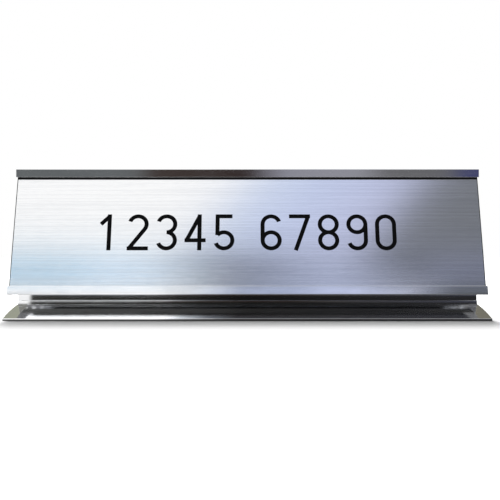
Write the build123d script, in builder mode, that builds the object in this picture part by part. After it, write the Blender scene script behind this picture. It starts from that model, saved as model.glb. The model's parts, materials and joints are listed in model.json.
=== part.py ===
"""Desk name plate: an extruded frame on an extruded foot, with an engraved plate that slides in.

Millimetres. X runs along the holder, Y from the front edge to the back, Z up.
The origin is under the middle of the holder, on the surface that it stands on.
"""

import os
from math import asin, atan2, cos, degrees, hypot, radians, sin

from build123d import *

# Engraved plate
plate_length = 202.6
plate_height = 50.8
core_thickness = 1.3
cap_thickness = 0.3
cap_top_reveal = 1.1
cap_edge_reveal = 0.4
plate_gap = 0.1
plate_play = 0.3
plate_headroom = 0.3
plate_end_gap = 0.3

# Numerals cut through the cap
numerals = "12345 67890"
numeral_height = 16.5
numeral_stroke = 1.8
numeral_hook = 20
numeral_pitch = 12.4
group_gap = 8.0
numeral_rise = 25.0

# Frame that holds the plate
face_tilt = 18.5
face_setback = 10.93
neck_height = 3.4
slot_floor = 2.32
lip_height = 0.55
lip_thickness = 1.2
lip_top_round = 0.25
lip_bottom_round = 0.3
panel_thickness = 1.6
web_rise = 2.3
web_thickness = 1.5
hollow_round = 1.0
head_engagement = 0.4
head_lip_thickness = 1.3
head_lip_height = 3.5
head_top_round = 0.15
head_edge_round = 0.12
leg_thickness = 2.0
leg_cover = 0.95
tee_width = 5.0
tee_height = 1.4

# Foot that the frame stands in
foot_tail = 17.9
foot_edge = 0.9
foot_bulge = 0.48
foot_edge_round = 0.48
riser_height = 1.55
riser_wall = 0.9
riser_taper = 0.045
riser_taper_height = 1.0
riser_round = 0.2
tee_floor = 2.7
tee_roof = 1.35
tee_gap = 0.1
saw_chamfer = 0.1

# Lock screws under the tee
screw_diameter = 3.0
screw_thread_gap = 0.05
screw_socket = 1.5
screw_socket_depth = 1.2
screw_inset = 31.6

# Rubber bumpers under the foot
bumper_diameter = 9.0
bumper_thickness = 1.2
bumper_proud = 0.2
bumper_gap = 0.2
bumper_end_inset = 14.0
bumper_side_inset = 9.0

# Room for the plate in the frame
holder_length = plate_length + 2 * plate_end_gap
slot_width = plate_gap + core_thickness + cap_thickness + plate_play
plate_top = plate_gap + plate_height
slot_top = plate_top + plate_headroom

# Levels of the foot's section
foot_bottom = bumper_proud
edge_top = foot_bottom + foot_edge
chamber_bottom = foot_bottom + tee_floor
tee_bottom = chamber_bottom + tee_gap
tee_top = tee_bottom + tee_height
crown_top = tee_top + tee_roof
riser_top = crown_top + riser_height
taper_bottom = riser_top - riser_taper_height
underside_height = riser_top + neck_height

# Places along the section, worked out from the tilted face
tilt = radians(face_tilt)
slot_foot_z = underside_height + slot_floor
leg_setback = face_setback + slot_top * sin(tilt) + leg_cover
foot_depth = leg_setback + leg_thickness + foot_tail
front_y = -foot_depth / 2
rear_y = foot_depth / 2
leg_front = front_y + leg_setback
leg_back = leg_front + leg_thickness
leg_middle = (leg_front + leg_back) / 2
riser_front = leg_front - tee_gap - riser_wall
riser_back = leg_back + tee_gap + riser_wall
slot_foot_y = front_y + face_setback


def on_face(up, out):
    """Section point so far up the tilted face from the slot's foot, and so far out from it."""
    y = slot_foot_y + up * sin(tilt) - out * cos(tilt)
    z = slot_foot_z + up * cos(tilt) + out * sin(tilt)
    return (y, z)


def up_face_at_height(z, out):
    """Distance up the tilted face at which a point so far out from it has height z."""
    return (z - slot_foot_z - out * sin(tilt)) / cos(tilt)


def up_face_at_depth(y, out):
    """Distance up the tilted face at which a point so far out from it has depth y."""
    return (y - slot_foot_y + out * cos(tilt)) / sin(tilt)


# Corners of the frame's section
lip_out = slot_width + lip_thickness
lip_bottom_corner = on_face(up_face_at_height(underside_height, lip_out), lip_out)
lip_top_corner = on_face(lip_height, lip_out)
head_lip_inner = on_face(plate_top - head_engagement, slot_width)
head_lip_bottom = head_lip_inner[1]
head_front = head_lip_inner[0] - head_lip_thickness
head_top = head_lip_bottom + head_lip_height
web_bottom = underside_height + web_rise
web_top = web_bottom + web_thickness

# Frame: tilted panel with a channel at each edge, closed into a hollow by a web and an upright
# leg, which runs on down to a tee that slides into the foot
with BuildPart() as plate_frame:
    with BuildSketch(Plane.YZ) as frame_section:
        with BuildLine():
            Polyline(
                lip_bottom_corner,
                lip_top_corner,
                on_face(lip_height, slot_width),
                on_face(0, slot_width),
                on_face(0, 0),
                on_face(slot_top, 0),
                on_face(slot_top, slot_width),
                head_lip_inner,
                (head_front, head_lip_bottom),
                (head_front, head_top),
                (leg_back, head_top),
                (leg_back, tee_top),
                (leg_middle + tee_width / 2, tee_top),
                (leg_middle + tee_width / 2, tee_bottom),
                (leg_middle - tee_width / 2, tee_bottom),
                (leg_middle - tee_width / 2, tee_top),
                (leg_front, tee_top),
                (leg_front, web_bottom),
                on_face(up_face_at_height(web_bottom, -panel_thickness), -panel_thickness),
                on_face(up_face_at_height(underside_height, -panel_thickness), -panel_thickness),
                close=True,
            )
        make_face()
        for corner, radius in (
            (lip_bottom_corner, lip_bottom_round),
            (lip_top_corner, lip_top_round),
            ((head_front, head_lip_bottom), head_edge_round),
            ((head_front, head_top), head_top_round),
            ((leg_back, head_top), head_top_round),
        ):
            fillet(frame_section.vertices().sort_by_distance(corner)[0], radius)
    extrude(amount=holder_length / 2, both=True)
    with BuildSketch(Plane.YZ) as hollow_section:
        with BuildLine():
            Polyline(
                on_face(up_face_at_height(web_top, -panel_thickness), -panel_thickness),
                (leg_front, web_top),
                on_face(up_face_at_depth(leg_front, -panel_thickness), -panel_thickness),
                close=True,
            )
        make_face()
        fillet(hollow_section.vertices(), hollow_round)
    extrude(amount=holder_length / 2, both=True, mode=Mode.SUBTRACT)
    chamfer(plate_frame.faces().filter_by(Axis.X).edges(), saw_chamfer)
plate_frame.part.label = "plate_frame"

# Lock screw and bumper places under the foot
screw_x = holder_length / 2 - screw_inset
screw_spots = {"left": (-screw_x, leg_middle), "right": (screw_x, leg_middle)}
bumper_x = holder_length / 2 - bumper_end_inset
bumper_spots = {
    "front_left": (-bumper_x, front_y + bumper_side_inset),
    "front_right": (bumper_x, front_y + bumper_side_inset),
    "rear_left": (-bumper_x, rear_y - bumper_side_inset),
    "rear_right": (bumper_x, rear_y - bumper_side_inset),
}

# Foot: low crowned wedge with a riser, slotted along its length for the frame's tee
with BuildPart() as base_foot:
    with BuildSketch(Plane.YZ) as foot_section:
        with BuildLine():
            Polyline((riser_back, crown_top), (riser_back, taper_bottom),
                     (riser_back - riser_taper, riser_top), (riser_front + riser_taper, riser_top),
                     (riser_front, taper_bottom), (riser_front, crown_top))
            SagittaArc((riser_front, crown_top), (front_y, edge_top), -foot_bulge)
            Polyline((front_y, edge_top), (front_y, foot_bottom), (rear_y, foot_bottom),
                     (rear_y, edge_top))
            SagittaArc((rear_y, edge_top), (riser_back, crown_top), -foot_bulge)
        make_face()
        riser_corners = foot_section.vertices().group_by(Axis.Y)[-1]
        fillet(riser_corners, riser_round)
        for corner in ((front_y, edge_top), (rear_y, edge_top)):
            fillet(foot_section.vertices().sort_by_distance(corner)[0], foot_edge_round)
        with Locations((leg_middle, riser_top)):
            Rectangle(leg_thickness + 2 * tee_gap, riser_top - chamber_bottom,
                      align=(Align.CENTER, Align.MAX), mode=Mode.SUBTRACT)
        with Locations((leg_middle, chamber_bottom)):
            Rectangle(tee_width + 2 * tee_gap, tee_gap + tee_height,
                      align=(Align.CENTER, Align.MIN), mode=Mode.SUBTRACT)
    extrude(amount=holder_length / 2, both=True)
    chamfer(base_foot.faces().filter_by(Axis.X).edges(), saw_chamfer)
    with BuildSketch(Plane.XY.offset(foot_bottom)):
        with Locations(*screw_spots.values()):
            Circle(screw_diameter / 2 + screw_thread_gap)
    extrude(amount=tee_floor, mode=Mode.SUBTRACT)
    with BuildSketch(Plane.XY.offset(foot_bottom)):
        with Locations(*bumper_spots.values()):
            Circle(bumper_diameter / 2 + bumper_gap)
    extrude(amount=bumper_thickness - bumper_proud, mode=Mode.SUBTRACT)
base_foot.part.label = "base_foot"

# Engraved plate: a black core with a thin metal cap, which stops short of the core's edges
face_plane = Plane(
    origin=(0, slot_foot_y, slot_foot_z),
    x_dir=(1, 0, 0),
    z_dir=(0, -cos(tilt), sin(tilt)),
)
with BuildPart() as name_plate_core:
    with BuildSketch(face_plane.offset(plate_gap)):
        with Locations((0, plate_gap)):
            Rectangle(plate_length, plate_height, align=(Align.CENTER, Align.MIN))
    extrude(amount=core_thickness)
name_plate_core.part.label = "name_plate_core"


def numeral_lines(digit):
    """Centre lines of one numeral, drawn up from the left end of its foot."""
    over = numeral_stroke / 2
    high = numeral_height - numeral_stroke
    bowl = high / 4
    right = 2 * bowl
    stem = 1.5 * bowl
    upper = (bowl, high - bowl)
    lower = (bowl, bowl)
    with BuildLine() as lines:
        if digit == "1":
            Line((bowl, -over), (bowl, high + over))
            Line((bowl, high), (0, high - bowl))
        elif digit == "2":
            slope = degrees(atan2(upper[1], upper[0]) - asin(bowl / hypot(*upper)))
            arc = CenterArc(upper, bowl, 180 - numeral_hook, slope - 270 + numeral_hook)
            Line(arc @ 1, (0, 0))
            Line((-over, 0), (right + over, 0))
        elif digit == "3":
            CenterArc(upper, bowl, -90, 270 - numeral_hook)
            CenterArc(lower, bowl, 90, numeral_hook - 270)
        elif digit == "4":
            Line((stem, -over), (stem, high + over))
            Line((stem, high), (0, bowl))
            Line((-over, bowl), (right + over, bowl))
        elif digit == "5":
            arc = CenterArc(lower, bowl, 180 - 2 * numeral_hook, 3 * numeral_hook - 360)
            Line(arc @ 0, (bowl - stem / 2, high))
            Line((bowl - stem / 2 - over, high), (right, high))
        elif digit == "6":
            CenterArc(lower, bowl, 180, 360)
            arc = CenterArc(upper, bowl, numeral_hook, 180 - numeral_hook)
            Line(arc @ 1, (0, bowl))
        elif digit == "7":
            Line((-over, high), (right + over, high))
            Line((right, high), (right - stem, -over))
        elif digit == "8":
            CenterArc(lower, bowl, 90, 360)
            CenterArc(upper, bowl, -90, 360)
        elif digit == "9":
            CenterArc(upper, bowl, 0, 360)
            arc = CenterArc(lower, bowl, 180 + numeral_hook, 180 - numeral_hook)
            Line(arc @ 1, (right, high - bowl))
        else:
            top = CenterArc(upper, bowl, 0, 180)
            bottom = CenterArc(lower, bowl, 180, 180)
            Line(top @ 1, bottom @ 0)
            Line(bottom @ 1, top @ 0)
    return lines.line


numeral_width = (numeral_height - numeral_stroke) / 2 + numeral_stroke
row_length = numeral_pitch * (len(numerals.replace(" ", "")) - 1) + numeral_width + group_gap
numeral_foot = numeral_rise - numeral_height / 2 + numeral_stroke / 2

with BuildPart() as name_plate_face:
    with BuildSketch(face_plane.offset(plate_gap + core_thickness)):
        with Locations((0, plate_gap + cap_edge_reveal)):
            Rectangle(plate_length - 2 * cap_edge_reveal,
                      plate_height - cap_edge_reveal - cap_top_reveal,
                      align=(Align.CENTER, Align.MIN))
        numeral_left = (numeral_stroke - row_length) / 2
        for digit in numerals:
            if digit == " ":
                numeral_left += group_gap
                continue
            for line in numeral_lines(digit).edges():
                spot = Location((numeral_left, numeral_foot))
                trace(line.moved(spot), line_width=numeral_stroke, mode=Mode.SUBTRACT)
            numeral_left += numeral_pitch
    extrude(amount=cap_thickness)
name_plate_face.part.label = "name_plate_face"

os.makedirs("parts", exist_ok=True)
export_step(plate_frame.part, "parts/plate_frame.step")
export_step(base_foot.part, "parts/base_foot.step")
export_step(name_plate_core.part, "parts/name_plate_core.step")
export_step(name_plate_face.part, "parts/name_plate_face.step")

# Set screws that press the tee up against the shoulders of its slot
for side, spot in screw_spots.items():
    with BuildPart() as lock_screw:
        with BuildSketch(Plane.XY.offset(foot_bottom)):
            with Locations(spot):
                Circle(screw_diameter / 2)
        extrude(amount=tee_floor + tee_gap)
        with BuildSketch(Plane.XY.offset(foot_bottom)):
            with Locations(spot):
                RegularPolygon(screw_socket / 2, 6, major_radius=False)
        extrude(amount=screw_socket_depth, mode=Mode.SUBTRACT)
    lock_screw.part.label = f"{side}_lock_screw"
    export_step(lock_screw.part, f"parts/{side}_lock_screw.step")

# Non-slip bumpers stuck in round recesses
for corner, spot in bumper_spots.items():
    with BuildPart() as bumper:
        with BuildSketch(Plane.XY):
            with Locations(spot):
                Circle(bumper_diameter / 2)
        extrude(amount=bumper_thickness)
    bumper.part.label = f"{corner}_bumper"
    export_step(bumper.part, f"parts/{corner}_bumper.step")
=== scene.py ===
import json
import math
from typing import NamedTuple

import bmesh
import bpy
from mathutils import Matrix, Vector


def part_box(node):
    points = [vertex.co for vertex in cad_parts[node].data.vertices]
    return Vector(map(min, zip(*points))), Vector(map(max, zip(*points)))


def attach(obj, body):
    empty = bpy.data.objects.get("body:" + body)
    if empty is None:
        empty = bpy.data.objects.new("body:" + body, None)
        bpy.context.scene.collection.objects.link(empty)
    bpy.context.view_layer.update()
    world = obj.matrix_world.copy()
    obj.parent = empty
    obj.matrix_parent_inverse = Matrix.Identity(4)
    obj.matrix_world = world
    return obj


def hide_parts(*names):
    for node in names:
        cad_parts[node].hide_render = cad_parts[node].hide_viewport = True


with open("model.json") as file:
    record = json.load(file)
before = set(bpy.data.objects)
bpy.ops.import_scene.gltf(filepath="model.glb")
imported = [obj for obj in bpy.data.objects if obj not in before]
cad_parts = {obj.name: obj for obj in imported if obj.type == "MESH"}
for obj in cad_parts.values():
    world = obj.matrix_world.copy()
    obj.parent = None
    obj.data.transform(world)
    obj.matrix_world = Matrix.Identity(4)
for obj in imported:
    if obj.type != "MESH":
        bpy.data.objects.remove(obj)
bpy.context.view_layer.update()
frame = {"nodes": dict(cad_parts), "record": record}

# The photograph's view
IMAGE_SIDE = 500
FOCAL_PIXELS = 965.2
HOLDER_COLUMN = 247.4
SENSOR_WIDTH = 36.0
CAMERA_DISTANCE = 0.400
CAMERA_HEIGHT = 0.0296
CAMERA_NEAR_LIMIT = 0.01

# Sizes read from the frame
FOOT_LOW, FOOT_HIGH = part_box("base_foot")
HALF_LENGTH = FOOT_HIGH.x
HALF_DEPTH = FOOT_HIGH.y
FRONT_EDGE = FOOT_LOW.y

# Plain colours
BLACK = (0.0, 0.0, 0.0)
WHITE = (1.0, 1.0, 1.0)


class Signal:
    """One output socket. Arithmetic on it adds Math nodes to its tree."""

    def __init__(self, nodes, socket):
        self.nodes = nodes
        self.socket = socket

    def work_out(self, operation, first, second=0.0):
        """Adds one Math node."""
        return self.nodes.node("ShaderNodeMath", {"operation": operation}, {0: first, 1: second})

    def __add__(self, other):
        return self.work_out("ADD", self, other)

    def __sub__(self, other):
        return self.work_out("SUBTRACT", self, other)

    def __rsub__(self, other):
        return self.work_out("SUBTRACT", other, self)

    def __mul__(self, other):
        return self.work_out("MULTIPLY", self, other)

    def __truediv__(self, other):
        return self.work_out("DIVIDE", self, other)

    def __rtruediv__(self, other):
        return self.work_out("DIVIDE", other, self)

    def __gt__(self, other):
        return self.work_out("GREATER_THAN", self, other)

    def __abs__(self):
        return self.work_out("ABSOLUTE", self)

    def at_least(self, other):
        return self.work_out("MAXIMUM", self, other)

    __radd__ = __add__
    __rmul__ = __mul__


class Nodes:
    """A node tree that is filled one node at a time."""

    def __init__(self, tree):
        self.tree = tree

    def node(self, kind, settings=None, sockets=None, output=0):
        """Adds a node, with its settings first and then the values or links of its sockets."""
        made = self.tree.nodes.new(kind)
        for name, value in (settings or {}).items():
            if name == "stops":
                self.set_stops(made.color_ramp, value)
            else:
                setattr(made, name, value)
        for name, value in (sockets or {}).items():
            self.feed(made.inputs[name], value)
        return Signal(self, made.outputs[output])

    def set_stops(self, colours, stops):
        """Gives a colour ramp its (position, colour) stops."""
        while len(colours.elements) < len(stops):
            colours.elements.new(1.0)
        for element, (position, colour) in zip(colours.elements, stops):
            element.position = position
            element.color = (*colour, 1.0)

    def feed(self, socket, value):
        """Links a signal to a socket, or sets the socket's own value."""
        if isinstance(value, Signal):
            self.tree.links.new(value.socket, socket)
        elif isinstance(value, tuple) and len(value) == 3 and socket.type == "RGBA":
            socket.default_value = (*value, 1.0)
        else:
            socket.default_value = value

    def mix(self, share, first, second):
        """A colour that goes from first to second."""
        return self.node("ShaderNodeMix", {"data_type": "RGBA"}, {0: share, 6: first, 7: second}, 2)

    def ramp(self, signal, low, high, start=0.0, end=1.0):
        """Maps low..high smoothly to start..end."""
        settings = {"interpolation_type": "SMOOTHSTEP"}
        sockets = {"Value": signal, "From Min": low, "From Max": high, "To Min": start, "To Max": end}
        return self.node("ShaderNodeMapRange", settings, sockets, "Result")

    def stripe(self, signal, low, high, stops):
        """A colour that changes with a signal between low and high, by (value, colour) stops."""
        share = (signal - low) / (high - low)
        placed = [((value - low) / (high - low), colour) for value, colour in stops]
        return self.node("ShaderNodeValToRGB", {"stops": placed}, {"Fac": share}, "Color")

    def seen_by_eye_or_mirror(self):
        """1 for rays from the camera, a mirror or a lens, and 0 for the light that falls on surfaces."""
        eye = self.node("ShaderNodeLightPath", output="Is Camera Ray")
        mirror = self.node("ShaderNodeLightPath", output="Is Glossy Ray")
        lens = self.node("ShaderNodeLightPath", output="Is Transmission Ray")
        return eye.at_least(mirror).at_least(lens)


class Surface(Nodes):
    """A material that is patterned on its object's own coordinates, in metres."""

    def __init__(self, name):
        self.material = bpy.data.materials.new(name)
        self.material.use_nodes = True
        super().__init__(self.material.node_tree)
        self.place = self.node("ShaderNodeTexCoord", output="Object")

    def axis(self, name):
        """One coordinate of the place on the object."""
        return self.node("ShaderNodeSeparateXYZ", {}, {"Vector": self.place}, name)


# Finishes
NOISE_MIDDLE = 0.5
SAWN_DEPTH = 0.00002
SAWN_COLOUR = (0.70, 0.71, 0.73)
SAWN_ROUGHNESS = 0.38
FINE_LINE_SHARE = 0.2
LINE_ROUGHNESS = 0.03
FLECK_SHARE = 0.3
CLOUD_ROUGHNESS = 0.015
STREAK_SHARE = 0.5


class Finish(Surface):
    """A material with one Principled shader."""

    def __init__(self, name):
        super().__init__(name)
        self.shader = self.tree.nodes["Principled BSDF"]

    def set(self, **sockets):
        """Feeds the shader's sockets, named with underscores for spaces."""
        for name, value in sockets.items():
            self.feed(self.shader.inputs[name.replace("_", " ")], value)

    def noise(self, size, detail=3.0, roughness=0.5):
        """Noise from 0 to 1 whose spots are size metres along X, Y and Z."""
        per_metre = tuple(1.0 / length for length in size)
        stretched = self.node("ShaderNodeMapping", {"vector_type": "POINT"},
                              {"Vector": self.place, "Scale": per_metre}, "Vector")
        sockets = {"Vector": stretched, "Scale": 1.0, "Detail": detail, "Roughness": roughness}
        return self.node("ShaderNodeTexNoise", {}, sockets, "Fac")

    def vary(self, noise, start, end, reach=0.3):
        """A value that goes from start to end while the noise is within reach of its middle."""
        return self.ramp(noise, NOISE_MIDDLE - reach, NOISE_MIDDLE + reach, start, end)

    def tint(self, noise, dark, light, reach=0.2):
        """A colour that goes from dark to light while the noise is within reach of its middle."""
        return self.mix(self.vary(noise, 0.0, 1.0, reach), dark, light)

    def bump(self, height, depth):
        """A normal from a height of 0 to 1 that stands for depth metres."""
        sockets = {"Height": height, "Distance": depth, "Strength": 1.0}
        return self.node("ShaderNodeBump", {}, sockets, "Normal")


def bright_aluminium():
    """Bright-dipped extrusion: close to a mirror, with draw lines along it and sawn, matt ends."""
    finish = Finish("bright_aluminium")
    fine_line = finish.noise((0.060, 0.00030, 0.00030), detail=2.0)
    broad_line = finish.noise((0.300, 0.0016, 0.0016))
    haze = finish.noise((0.025, 0.006, 0.006))
    saw_mark = finish.noise((0.0006, 0.0040, 0.00035))
    sawn = abs(finish.axis("X")) > HALF_LENGTH - SAWN_DEPTH
    drawn = 1 - sawn
    drawn_colour = finish.tint(broad_line, dark=(0.87, 0.875, 0.885), light=(0.91, 0.912, 0.918))
    drawn_roughness = finish.vary(haze, 0.045, 0.075, reach=0.2) + broad_line * LINE_ROUGHNESS
    drawn_height = fine_line * FINE_LINE_SHARE + broad_line
    finish.set(Base_Color=finish.mix(sawn, drawn_colour, SAWN_COLOUR))
    finish.set(Metallic=1.0)
    finish.set(Roughness=drawn_roughness * drawn + sawn * SAWN_ROUGHNESS)
    finish.set(Normal=finish.bump(drawn_height * drawn + saw_mark * sawn, depth=0.000006))
    return finish.material


def brushed_cap():
    """Satin plate face with fine brushing along its length, in long lines broken up by flecks."""
    finish = Finish("brushed_cap")
    hair = finish.noise((0.010, 0.00014, 0.00014), detail=2.0, roughness=0.6)
    streak = finish.noise((0.050, 0.00045, 0.00045), detail=4.0, roughness=0.65)
    cloud = finish.noise((0.060, 0.010, 0.010), detail=2.0)
    line = finish.noise((0.080, 0.0006, 0.0006), roughness=0.6)
    fleck = finish.noise((0.004, 0.0006, 0.0006), detail=2.0)
    broken_line = line + (fleck - NOISE_MIDDLE) * FLECK_SHARE
    finish.set(Base_Color=finish.tint(broken_line, dark=(0.887, 0.892, 0.902),
                                      light=(0.970, 0.972, 0.975), reach=0.15))
    finish.set(Metallic=1.0)
    finish.set(Roughness=finish.vary(streak, 0.095, 0.125) + cloud * CLOUD_ROUGHNESS)
    finish.set(Normal=finish.bump(hair + streak * STREAK_SHARE, depth=0.0000025))
    return finish.material


def black_core():
    """Matt black laminate, with the engraver's fine tool marks."""
    finish = Finish("black_core")
    mark = finish.noise((0.0004, 0.0015, 0.0004))
    finish.set(Base_Color=finish.tint(mark, dark=(0.002, 0.002, 0.0025), light=(0.005, 0.005, 0.006)))
    finish.set(Roughness=finish.vary(mark, 0.5, 0.7))
    finish.set(Specular_IOR_Level=0.08)
    finish.set(Normal=finish.bump(mark, depth=0.00002))
    return finish.material


def black_oxide_steel():
    """Blackened steel with an oily, slightly uneven skin."""
    finish = Finish("black_oxide_steel")
    skin = finish.noise((0.0006, 0.0006, 0.0006), detail=4.0)
    finish.set(Base_Color=finish.tint(skin, dark=(0.05, 0.05, 0.055), light=(0.11, 0.11, 0.115)))
    finish.set(Metallic=1.0)
    finish.set(Roughness=finish.vary(skin, 0.32, 0.5))
    finish.set(Normal=finish.bump(skin, depth=0.00001))
    return finish.material


def bumper_rubber():
    """Dull rubber with a fine moulded grain and a little dust."""
    finish = Finish("bumper_rubber")
    grain = finish.noise((0.00025, 0.00025, 0.00025))
    dust = finish.noise((0.003, 0.003, 0.003))
    finish.set(Base_Color=finish.tint(dust, dark=(0.030, 0.030, 0.032), light=(0.055, 0.055, 0.058)))
    finish.set(Roughness=finish.vary(grain, 0.65, 0.85))
    finish.set(Normal=finish.bump(grain, depth=0.00004))
    return finish.material


FINISHES = {
    "bright_aluminium": bright_aluminium(),
    "brushed_cap": brushed_cap(),
    "black_core": black_core(),
    "black_oxide_steel": black_oxide_steel(),
    "bumper_rubber": bumper_rubber(),
}


def dress_nodes():
    """Gives each CAD node the finish of its material slot."""
    for subpart in frame["record"]["subparts"]:
        node = frame["nodes"][subpart["node"]]
        for slot in node.material_slots:
            slot.material = FINISHES[subpart["material_slot"]]


# Moulded bumpers
BUMPERS = ("front_left_bumper", "front_right_bumper", "rear_left_bumper", "rear_right_bumper")
BUMPER_SIDES = 96
RIM_ROUND = 0.00030
RIM_SEGMENTS = 4
TOP_ROUND = 0.00012
TOP_SEGMENTS = 2
RIM_WIDTH = 0.0010
DISH_DEPTH = 0.00018
RING_GAP = 0.0009
RING_WIDTH = 0.0008
SMOOTH_ANGLE = math.radians(40)
SAME_LEVEL = 1e-6
SAME_CENTRE = 1e-5
FACING_DOWN = -0.9


def pick(piece, layer, wanted):
    """Goes into edit mode with only those edges or faces selected that are wanted."""
    bpy.ops.object.mode_set(mode="EDIT")
    bpy.ops.mesh.select_mode(type={"edges": "EDGE", "faces": "FACE"}[layer])
    bpy.ops.mesh.select_all(action="DESELECT")
    mesh = bmesh.from_edit_mesh(piece.data)
    for item in getattr(mesh, layer):
        item.select_set(wanted(item))
    bmesh.update_edit_mesh(piece.data)


def mould_bumper(node):
    """A rubber disc with a rounded rim, and a dish with one ring in it on the face that grips."""
    low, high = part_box(node)
    middle = (low + high) / 2
    bpy.ops.object.select_all(action="DESELECT")
    bpy.ops.mesh.primitive_cylinder_add(vertices=BUMPER_SIDES, radius=(high.x - low.x) / 2,
                                        depth=high.z - low.z, location=middle)
    piece = bpy.context.object
    bpy.ops.object.transform_apply(location=True, rotation=True, scale=True)

    def at_bottom(edge):
        return all(abs(vertex.co.z - low.z) < SAME_LEVEL for vertex in edge.verts)

    def at_top(edge):
        return all(abs(vertex.co.z - high.z) < SAME_LEVEL for vertex in edge.verts)

    def grip_face(face):
        off_centre = (face.calc_center_median() - middle).to_2d().length
        return face.normal.z < FACING_DOWN and off_centre < SAME_CENTRE

    pick(piece, "edges", at_bottom)
    bpy.ops.mesh.bevel(offset=RIM_ROUND, segments=RIM_SEGMENTS)
    pick(piece, "edges", at_top)
    bpy.ops.mesh.bevel(offset=TOP_ROUND, segments=TOP_SEGMENTS)
    for width, depth in (
        (RIM_WIDTH, 0.0),
        (DISH_DEPTH, -DISH_DEPTH),
        (RING_GAP, 0.0),
        (DISH_DEPTH, DISH_DEPTH),
        (RING_WIDTH, 0.0),
        (DISH_DEPTH, -DISH_DEPTH),
    ):
        pick(piece, "faces", grip_face)
        bpy.ops.mesh.inset(thickness=width, depth=depth)
    bpy.ops.object.mode_set(mode="OBJECT")
    bpy.ops.object.shade_smooth_by_angle(angle=SMOOTH_ANGLE)
    piece.data.materials.append(FINISHES["bumper_rubber"])
    return piece


def copy_bumper(first, shift):
    """A copy of the first bumper, with its own mesh, moved to another corner of the foot."""
    bpy.ops.object.select_all(action="DESELECT")
    first.select_set(True)
    bpy.context.view_layer.objects.active = first
    bpy.ops.object.duplicate(linked=False)
    bpy.ops.transform.translate(value=shift)
    bpy.ops.object.transform_apply(location=True, rotation=False, scale=False)
    return bpy.context.object


def fit_bumpers():
    """One moulded bumper, copied to each corner of the foot."""
    first = mould_bumper(BUMPERS[0])
    start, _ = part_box(BUMPERS[0])
    for node in BUMPERS:
        piece = first
        if node != BUMPERS[0]:
            place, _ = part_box(node)
            piece = copy_bumper(first, place - start)
        piece.name = f"moulded_{node}"
        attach(piece, "holder")
        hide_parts(node)


# Studio sheets
FLAT = (0, 0, 0)
UPRIGHT = (math.radians(90), 0, 0)
SIDEWAYS = (math.radians(90), 0, math.radians(90))


def flat_sheet(name, centre, turn, width, height):
    """A rectangle of the studio, turned about X and Z, which isn't part of the object."""
    bpy.ops.object.select_all(action="DESELECT")
    bpy.ops.mesh.primitive_plane_add(size=1.0, location=centre, rotation=turn)
    sheet = bpy.context.object
    sheet.name = name
    sheet.scale = (width, height, 1.0)
    bpy.ops.object.transform_apply(location=False, rotation=False, scale=True)
    return sheet


class Row(NamedTuple):
    """A row of colours on a board.

    Its (place, colour) stops go from left to right, and its foot has a soft edge. A slant moves the stops
    sideways above and below one level.
    """

    stops: tuple
    foot: float = 0.0
    softness: float = 0.0
    slant: float = 0.0
    level: float = 0.0


class PaintedReflectionBoard(Surface):
    """A studio board that shows only in reflections: its glow is a painted reflection, which lights nothing
    and casts no shadow.
    """

    def __init__(self, name, centre, turn, width, height):
        super().__init__(name)
        self.tree.nodes.remove(self.tree.nodes["Principled BSDF"])
        self.width = width
        self.height = height
        self.across = self.axis("X")
        self.up = self.axis("Y") + height / 2
        sheet = flat_sheet(name, centre, turn, width, height)
        sheet.visible_camera = False
        sheet.visible_diffuse = False
        sheet.visible_shadow = False
        sheet.visible_transmission = False
        sheet.data.materials.append(self.material)

    def row(self, row):
        """The colours of one row, over the whole board."""
        across = self.across
        if row.slant:
            across = across + (row.level - self.up) * row.slant
        return self.stripe(across, -self.width / 2, self.width / 2, row.stops)

    def in_rows(self, first, *others):
        """Rows of colours, one above the other, the first from the board's own foot up."""
        shown = self.row(first)
        for row in others:
            risen = self.ramp(self.up, row.foot - row.softness, row.foot + row.softness)
            shown = self.mix(risen, shown, self.row(row))
        return shown

    def from_foot(self, stops):
        """Colours that change with the height, by (height, colour) stops."""
        return self.stripe(self.up, 0.0, self.height, stops)

    def glow(self, colour):
        """Finishes the board in the colour of its painted reflection, as a glow."""
        light = self.node("ShaderNodeEmission", {}, {"Color": colour})
        self.feed(self.tree.nodes["Material Output"].inputs["Surface"], light)


# Floor and surroundings, where a lift is the floor's own glow. Near the holder the glow is held back and
# shifted sideways, which paints the reach and side edges of its shadow on top of the lamp's real shadow
FILL_COLOUR = (0.30, 0.30, 0.30)
FLOOR_SIDE = 6.0
FLOOR_COLOUR = (0.74, 0.74, 0.74)
FLOOR_ROUGHNESS = 0.9
FLOOR_LIFT = 0.44
SHADOW_START = 0.008
SHADOW_END = 0.050
SHADOW_SHIFT = 0.0012
SIDE_FADE = 0.0014
SIDE_SPREAD = 0.30
SIDE_LIFT = 0.68
FAR_START = 0.10
FAR_END = 0.60
FAR_LIFT = 0.8


def lay_floor():
    """Pale floor that keeps the lamp's real shadow of the holder, with the shadow's reach and side edges
    painted by where its glow is held back, and that fades to white away from it.
    """
    floor = flat_sheet("floor", (0, 0, 0), FLAT, FLOOR_SIDE, FLOOR_SIDE)
    finish = Finish("pale_floor")
    finish.set(Base_Color=FLOOR_COLOUR, Roughness=FLOOR_ROUGHNESS, Specular_IOR_Level=0.0)
    # Painted shadow edges: the glow is shifted sideways and kept low close to the holder's front, back and
    # ends.
    aside = abs(finish.axis("X") - SHADOW_SHIFT) - HALF_LENGTH
    ahead = abs(finish.axis("Y")) - HALF_DEPTH
    softness = ahead.at_least(0.0) * SIDE_SPREAD + SIDE_FADE
    lift = finish.ramp(ahead, SHADOW_START, SHADOW_END, 0.0, FLOOR_LIFT)
    lift = lift + finish.ramp(aside / softness, -1.0, 1.0, 0.0, SIDE_LIFT)
    lift = lift + finish.ramp(ahead.at_least(aside), FAR_START, FAR_END, 0.0, FAR_LIFT)
    shown = lift * finish.seen_by_eye_or_mirror()
    finish.set(Emission_Color=finish.mix(shown, BLACK, WHITE))
    finish.set(Emission_Strength=1.0)
    floor.data.materials.append(finish.material)


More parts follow.
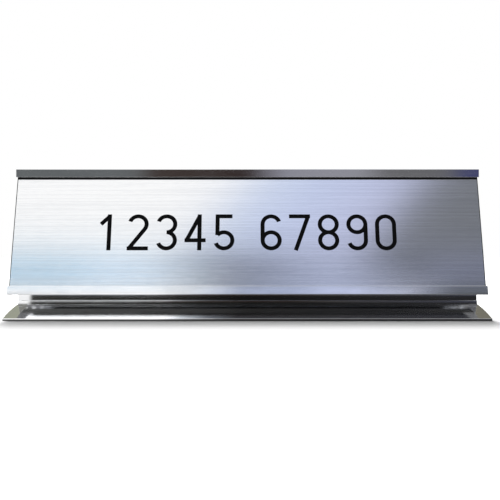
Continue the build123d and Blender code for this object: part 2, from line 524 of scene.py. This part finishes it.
def light_world():
    """White surroundings to the eye and to mirrors, and an even fill to everything else."""
    world = bpy.data.worlds.new("studio")
    bpy.context.scene.world = world
    world.use_nodes = True
    nodes = Nodes(world.node_tree)
    background = world.node_tree.nodes["Background"]
    seen = nodes.seen_by_eye_or_mirror()
    nodes.feed(background.inputs["Color"], nodes.mix(seen, FILL_COLOUR, WHITE))


# Front wall: rows of painted reflection and painted highlight, glowing only in mirrors for the holder's
# metal to reflect
WALL_PLACE = 0.90
WALL_REACH = 1.40
WALL_TOP = 1.80
SKIRTING_REFLECTION = Row(stops=(
    (-0.40, (0.48, 0.49, 0.51)),
    (0.40, (0.26, 0.27, 0.29)),
))
EYE_LEVEL_REFLECTION = Row(foot=0.085, softness=0.010, stops=(
    (-0.45, (0.60, 0.62, 0.65)),
    (-0.34, (0.12, 0.13, 0.135)),
    (-0.16, (0.12, 0.13, 0.135)),
    (-0.13, (0.05, 0.036, 0.032)),
    (0.00, (0.03, 0.020, 0.018)),
    (0.05, (0.28, 0.28, 0.33)),
    (0.15, (0.30, 0.30, 0.34)),
    (0.19, (0.14, 0.14, 0.145)),
    (0.27, (0.14, 0.14, 0.15)),
    (0.30, (0.05, 0.055, 0.15)),
    (0.34, (0.05, 0.055, 0.15)),
    (0.42, (0.50, 0.51, 0.55)),
))
PALE_BOARD_REFLECTION = Row(foot=0.200, softness=0.040, stops=(
    (-1.20, (0.40, 0.42, 0.45)),
    (-0.75, (0.92, 0.93, 0.95)),
    (-0.42, (0.84, 0.86, 0.89)),
    (-0.36, (0.24, 0.24, 0.22)),
    (-0.30, (0.24, 0.24, 0.22)),
    (-0.25, (0.74, 0.76, 0.80)),
    (0.05, (0.50, 0.52, 0.57)),
    (0.26, (0.38, 0.39, 0.42)),
    (0.29, (0.12, 0.12, 0.13)),
    (0.36, (0.12, 0.12, 0.13)),
    (0.42, (0.56, 0.57, 0.60)),
    (0.65, (0.68, 0.69, 0.72)),
    (1.20, (0.42, 0.43, 0.45)),
))
# Painted dark reflection: a near-black band across the wall.
DARK_GAP_REFLECTION = Row(foot=0.560, softness=0.006, stops=(
    (-WALL_REACH, (0.02, 0.03, 0.05)),
    (WALL_REACH, (0.02, 0.03, 0.05)),
))
# Painted highlight, brighter than white at the left.
PAINTED_SLIT_HIGHLIGHT = Row(foot=0.602, softness=0.004, stops=(
    (-0.11, (1.20, 1.20, 1.20)),
    (-0.07, (0.86, 0.92, 1.02)),
    (-0.01, (0.48, 0.54, 0.72)),
    (0.06, (0.54, 0.61, 0.84)),
    (0.16, (0.65, 0.71, 0.96)),
    (0.25, (0.54, 0.57, 0.70)),
    (0.31, (0.12, 0.13, 0.135)),
))
VEIL_REFLECTION = Row(foot=0.635, softness=0.004, stops=(
    (-0.30, (0.15, 0.45, 0.70)),
    (-0.22, (0.40, 0.65, 0.90)),
    (-0.16, (0.40, 0.62, 0.85)),
    (-0.05, (0.01, 0.01, 0.01)),
    (0.00, (0.01, 0.01, 0.01)),
    (0.13, (0.34, 0.38, 0.53)),
    (0.25, (0.08, 0.09, 0.13)),
    (0.30, (0.20, 0.22, 0.33)),
))
# Painted highlight: white at the left, mirrored as the plate's bright left side.
PAINTED_SOFT_BOX_HIGHLIGHT = Row(foot=0.685, softness=0.040, slant=0.7, level=0.83, stops=(
    (-0.06, (1.0, 1.0, 1.0)),
    (0.02, (0.62, 0.70, 0.88)),
    (0.10, (0.56, 0.63, 0.85)),
    (0.24, (0.54, 0.57, 0.78)),
    (0.31, (0.17, 0.18, 0.20)),
))


def hang_front_wall():
    """A wall in front of the holder, in rows from the floor up, whose glow is painted reflection and painted
    highlight.
    """
    wall = PaintedReflectionBoard("front_reflection_wall", (0, -WALL_PLACE, WALL_TOP / 2), UPRIGHT, 2 * WALL_REACH, WALL_TOP)
    wall.glow(wall.in_rows(SKIRTING_REFLECTION, EYE_LEVEL_REFLECTION, PALE_BOARD_REFLECTION, DARK_GAP_REFLECTION, PAINTED_SLIT_HIGHLIGHT, VEIL_REFLECTION, PAINTED_SOFT_BOX_HIGHLIGHT))


# Low card: painted reflections for the foot, painted shade for its neck, riser and front edge, painted white
# patches at the left ends of the neck and the riser, and a painted highlight, brighter than white, for its
# crown
CARD_GAP = 0.008
CARD_WIDTH = 0.250
CARD_TOP = 0.0094
LEAN_REACH = 0.0060
LEAN_TOP = 0.0134
APRON_GAP = 0.0005
APRON_OVERLAP = 0.0001
APRON_LIFT = 0.0001
# Where the painted white patches at the left ends of the neck and the riser stop.
HIGHLIGHT_EDGE = -0.1045
HIGHLIGHT_EDGE_SOFTNESS = 0.0005
CARD_FOOT_REFLECTION_ROW = Row(stops=(
    (-0.10, (0.085, 0.088, 0.084)),
    (-0.03, (0.060, 0.060, 0.060)),
    (0.00, (0.028, 0.027, 0.026)),
    (0.10, (0.036, 0.037, 0.041)),
))
# Painted shade for the neck, near black, with a painted white patch at its left end.
NECK_REFLECTION_ROW = Row(foot=0.0036, softness=0.0002, stops=(
    (HIGHLIGHT_EDGE - HIGHLIGHT_EDGE_SOFTNESS, WHITE),
    (HIGHLIGHT_EDGE + HIGHLIGHT_EDGE_SOFTNESS, (0.034, 0.034, 0.030)),
    (0.00, (0.006, 0.006, 0.006)),
    (0.10, (0.018, 0.018, 0.019)),
))
# Painted reflection for the riser, dark in the middle, with a painted white patch at its left end.
RISER_REFLECTION_ROW = Row(foot=0.0076, softness=0.0001, stops=(
    (HIGHLIGHT_EDGE - HIGHLIGHT_EDGE_SOFTNESS, WHITE),
    (HIGHLIGHT_EDGE + HIGHLIGHT_EDGE_SOFTNESS, (0.14, 0.15, 0.155)),
    (-0.056, (0.14, 0.15, 0.155)),
    (-0.035, (0.050, 0.040, 0.036)),
    (0.000, (0.025, 0.018, 0.016)),
    (0.021, (0.030, 0.024, 0.022)),
    (0.042, (0.055, 0.052, 0.052)),
    (0.106, (0.055, 0.058, 0.080)),
))
# Painted highlight, brighter than white at the left, for the white band on the foot's crown.
CROWN_HIGHLIGHT_ROW = Row(foot=0.0090, softness=0.0004, stops=(
    (-0.040, (2.10, 2.10, 2.10)),
    (-0.032, (0.90, 0.95, 1.00)),
    (-0.020, (0.25, 0.27, 0.30)),
    (-0.006, (0.06, 0.06, 0.065)),
    (0.100, (0.05, 0.05, 0.055)),
))
# Painted shade on the floor in front, mirrored dark by the foot's front edge.
APRON_SHADE_ROW = Row(stops=(
    (-0.10, (0.085, 0.086, 0.082)),
    (-0.03, (0.052, 0.052, 0.050)),
    (0.00, (0.022, 0.022, 0.022)),
    (0.06, (0.012, 0.012, 0.013)),
    (0.11, (0.038, 0.038, 0.036)),
))


def stand_card():
    """A low card close to the foot, with a top that leans over the foot's edge and an apron on the floor,
    all glowing as the foot's painted shade and painted highlight.
    """
    card_place = FRONT_EDGE - CARD_GAP
    card = PaintedReflectionBoard("low_reflection_card", (0, card_place, CARD_TOP / 2), UPRIGHT, CARD_WIDTH, CARD_TOP)
    card.glow(card.in_rows(CARD_FOOT_REFLECTION_ROW, NECK_REFLECTION_ROW, RISER_REFLECTION_ROW, CROWN_HIGHLIGHT_ROW))
    rise = LEAN_TOP - CARD_TOP
    leaning = PaintedReflectionBoard("leaning_highlight_card", (0, card_place + LEAN_REACH / 2, (CARD_TOP + LEAN_TOP) / 2),
                    (math.atan2(rise, LEAN_REACH), 0, 0), CARD_WIDTH, math.hypot(rise, LEAN_REACH))
    leaning.glow(leaning.in_rows(CROWN_HIGHLIGHT_ROW))
    near = FRONT_EDGE - APRON_GAP
    far = card_place - APRON_OVERLAP
    apron = PaintedReflectionBoard("shade_apron", (0, (near + far) / 2, APRON_LIFT), FLAT, CARD_WIDTH, near - far)
    apron.glow(apron.in_rows(APRON_SHADE_ROW))


# Dull boards around the holder, glowing as painted reflections
BACK_WALL_TOP = 0.90
BACK_WALL_REFLECTION_ROW = Row(stops=(
    (-0.30, (0.35, 0.36, 0.29)),
    (0.30, (0.19, 0.18, 0.145)),
))
BACK_MAT_MIDDLE = 0.28
BACK_MAT_WIDTH = 0.80
BACK_MAT_DEPTH = 0.61
BACK_MAT_LIFT = 0.00004
# Painted shade: darker next to the holder, paler away from it.
BACK_MAT_STOPS = (
    (0.04, (0.20, 0.20, 0.205)),
    (0.20, (0.45, 0.455, 0.465)),
    (0.50, (0.80, 0.805, 0.82)),
)
FRONT_MAT_WIDTH = 0.60
FRONT_MAT_DEPTH = 0.40
FRONT_MAT_LIFT = 0.00006
# Painted shade: darker next to the low card, paler away from it.
FRONT_MAT_STOPS = (
    (0.04, (0.70, 0.70, 0.72)),
    (0.26, (0.25, 0.25, 0.26)),
    (0.34, (0.12, 0.12, 0.125)),
)
CEILING_PLACE = (0.75, 0.10, 0.90)
CEILING_SIDE = 1.60
CEILING_REFLECTION_COLOUR = (0.55, 0.56, 0.58)
SIDE_WALL_PLACE = 0.70
SIDE_WALL_MIDDLE = 0.05
SIDE_WALL_WIDTH = 0.90
SIDE_WALL_TOP = 0.60
# Painted reflection, darker near the floor.
SIDE_WALL_STOPS = (
    (0.05, (0.12, 0.12, 0.12)),
    (0.30, (0.40, 0.40, 0.41)),
    (0.55, (0.75, 0.75, 0.76)),
)


def hang_back_wall():
    """A dull board behind, a painted reflection that is paler at the left."""
    wall = PaintedReflectionBoard("back_reflection_wall", (0, WALL_PLACE, BACK_WALL_TOP / 2), UPRIGHT, 2 * WALL_REACH, BACK_WALL_TOP)
    wall.glow(wall.in_rows(BACK_WALL_REFLECTION_ROW))


def lay_mats():
    """Dull mats on the floor, one behind and beside the holder and one in front, painted reflections that
    are darker near the holder as painted shade and paler away from it.
    """
    behind = PaintedReflectionBoard("back_mat_reflection", (0, BACK_MAT_MIDDLE, BACK_MAT_LIFT), FLAT, BACK_MAT_WIDTH, BACK_MAT_DEPTH)
    behind.glow(behind.from_foot(BACK_MAT_STOPS))
    middle = FRONT_EDGE - CARD_GAP - FRONT_MAT_DEPTH / 2
    front = PaintedReflectionBoard("front_mat_reflection", (0, middle, FRONT_MAT_LIFT), FLAT, FRONT_MAT_WIDTH, FRONT_MAT_DEPTH)
    front.glow(front.from_foot(FRONT_MAT_STOPS))


def hang_ceiling():
    """A plain board overhead, on the right, glowing grey as a painted reflection."""
    ceiling = PaintedReflectionBoard("right_ceiling_reflection", CEILING_PLACE, FLAT, CEILING_SIDE, CEILING_SIDE)
    ceiling.glow(CEILING_REFLECTION_COLOUR)


def hang_side_walls():
    """Dull boards beside the holder, painted reflections that are darker near the floor and paler towards
    the top.
    """
    for name, side in (("left_reflection_wall", -1), ("right_reflection_wall", 1)):
        centre = (side * SIDE_WALL_PLACE, SIDE_WALL_MIDDLE, SIDE_WALL_TOP / 2)
        wall = PaintedReflectionBoard(name, centre, SIDEWAYS, SIDE_WALL_WIDTH, SIDE_WALL_TOP)
        wall.glow(wall.from_foot(SIDE_WALL_STOPS))


# Lamp and reflections
LAMP_PLACE = Vector((-0.10, 0.42, 0.80))
LAMP_AIM = Vector((0.0, 0.0, 0.03))
LAMP_SIDE = 0.50
LAMP_POWER = 6.0
MIRROR_BOUNCES = 8


def hang_lamp():
    """A soft square lamp above and behind, which points at the holder's middle and isn't mirrored in it."""
    lamp = bpy.data.lights.new("overhead_lamp", "AREA")
    lamp.shape = "SQUARE"
    lamp.size = LAMP_SIDE
    lamp.energy = LAMP_POWER
    hung = bpy.data.objects.new("overhead_lamp", lamp)
    bpy.context.scene.collection.objects.link(hung)
    hung.location = LAMP_PLACE
    hung.rotation_euler = (LAMP_AIM - LAMP_PLACE).to_track_quat("-Z", "Y").to_euler()
    hung.visible_glossy = False


def set_camera():
    """A level camera in front of the holder, a little to the right of its middle."""
    camera = bpy.data.cameras.new("camera")
    camera.sensor_width = SENSOR_WIDTH
    camera.lens = FOCAL_PIXELS / IMAGE_SIDE * SENSOR_WIDTH
    camera.clip_start = CAMERA_NEAR_LIMIT
    stand = bpy.data.objects.new("camera", camera)
    bpy.context.scene.collection.objects.link(stand)
    aside = (IMAGE_SIDE / 2 - HOLDER_COLUMN) * CAMERA_DISTANCE / FOCAL_PIXELS
    stand.location = (aside, FRONT_EDGE - CAMERA_DISTANCE, CAMERA_HEIGHT)
    stand.rotation_euler = UPRIGHT
    bpy.context.scene.camera = stand


dress_nodes()
fit_bumpers()
lay_floor()
light_world()
hang_front_wall()
stand_card()
hang_back_wall()
lay_mats()
hang_ceiling()
hang_side_walls()
hang_lamp()
set_camera()
bpy.context.scene.cycles.glossy_bounces = MIRROR_BOUNCES
bpy.context.scene.view_settings.view_transform = "Standard"
